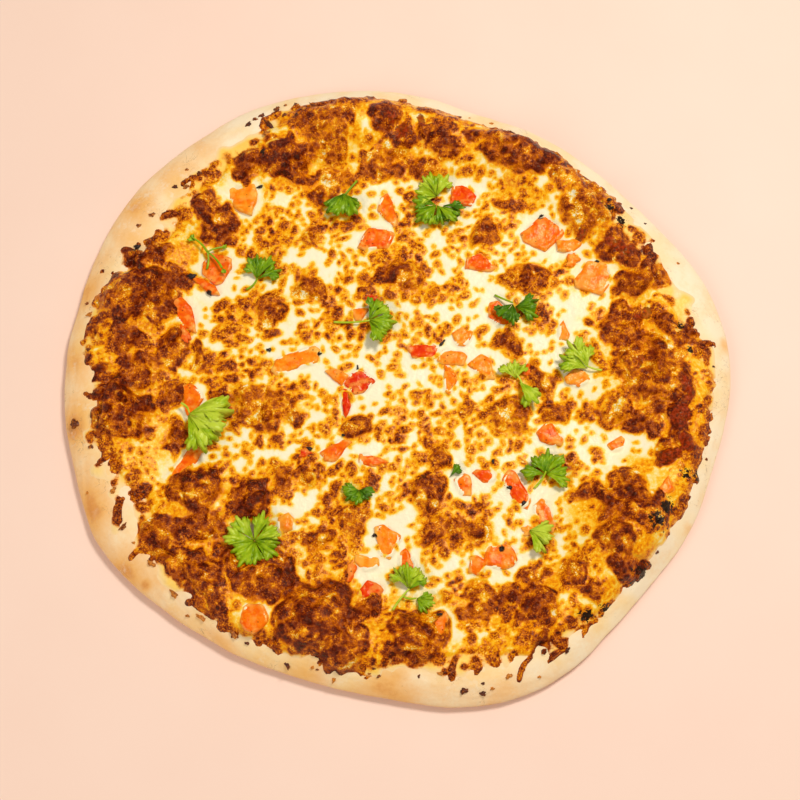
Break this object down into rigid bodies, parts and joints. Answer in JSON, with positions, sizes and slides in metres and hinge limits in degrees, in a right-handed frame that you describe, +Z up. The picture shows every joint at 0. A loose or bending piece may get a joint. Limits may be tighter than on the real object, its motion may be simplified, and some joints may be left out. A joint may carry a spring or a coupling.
{
  "type": "margherita pizza",
  "caption": "Round hand-stretched pizza with a puffed, bubbly rim, browned melted cheese, diced tomato and parsley.",
  "frame": {"origin": "middle of the flat underside, under the centre of the pizza's box", "axes": "+Z up through the toppings, +X to the right and +Y away from the eater"},
  "size_m": [0.3, 0.2901, 0.0215],
  "materials": {
    "dough": "matt, floury, pale baked dough with tan patches",
    "cheese": "melted mozzarella, glossy and cream between crisp browned blisters",
    "tomato": "wet, cooked tomato, orange to red, singed at its edges",
    "parsley": "fresh green leaf, satin, with pale veins"
  },
  "bodies": {
    "root": {"dough": "dough", "cheese": "cheese", "tomato_01": "tomato", "tomato_02": "tomato", "tomato_03": "tomato", "tomato_04": "tomato", "tomato_05": "tomato", "tomato_06": "tomato", "tomato_07": "tomato", "tomato_08": "tomato", "tomato_09": "tomato", "tomato_10": "tomato", "tomato_11": "tomato", "tomato_12": "tomato", "tomato_13": "tomato", "tomato_14": "tomato", "tomato_15": "tomato", "tomato_16": "tomato", "tomato_17": "tomato", "tomato_18": "tomato", "tomato_19": "tomato", "tomato_20": "tomato", "tomato_21": "tomato", "tomato_22": "tomato", "tomato_23": "tomato", "tomato_24": "tomato", "tomato_25": "tomato", "tomato_26": "tomato", "tomato_27": "tomato", "tomato_28": "tomato", "tomato_29": "tomato", "tomato_30": "tomato", "tomato_31": "tomato", "tomato_32": "tomato", "tomato_33": "tomato", "tomato_34": "tomato", "tomato_35": "tomato", "tomato_36": "tomato", "tomato_37": "tomato", "tomato_38": "tomato", "tomato_39": "tomato", "tomato_40": "tomato", "tomato_41": "tomato", "tomato_42": "tomato", "tomato_43": "tomato", "tomato_44": "tomato"}
  },
  "joints": []
}
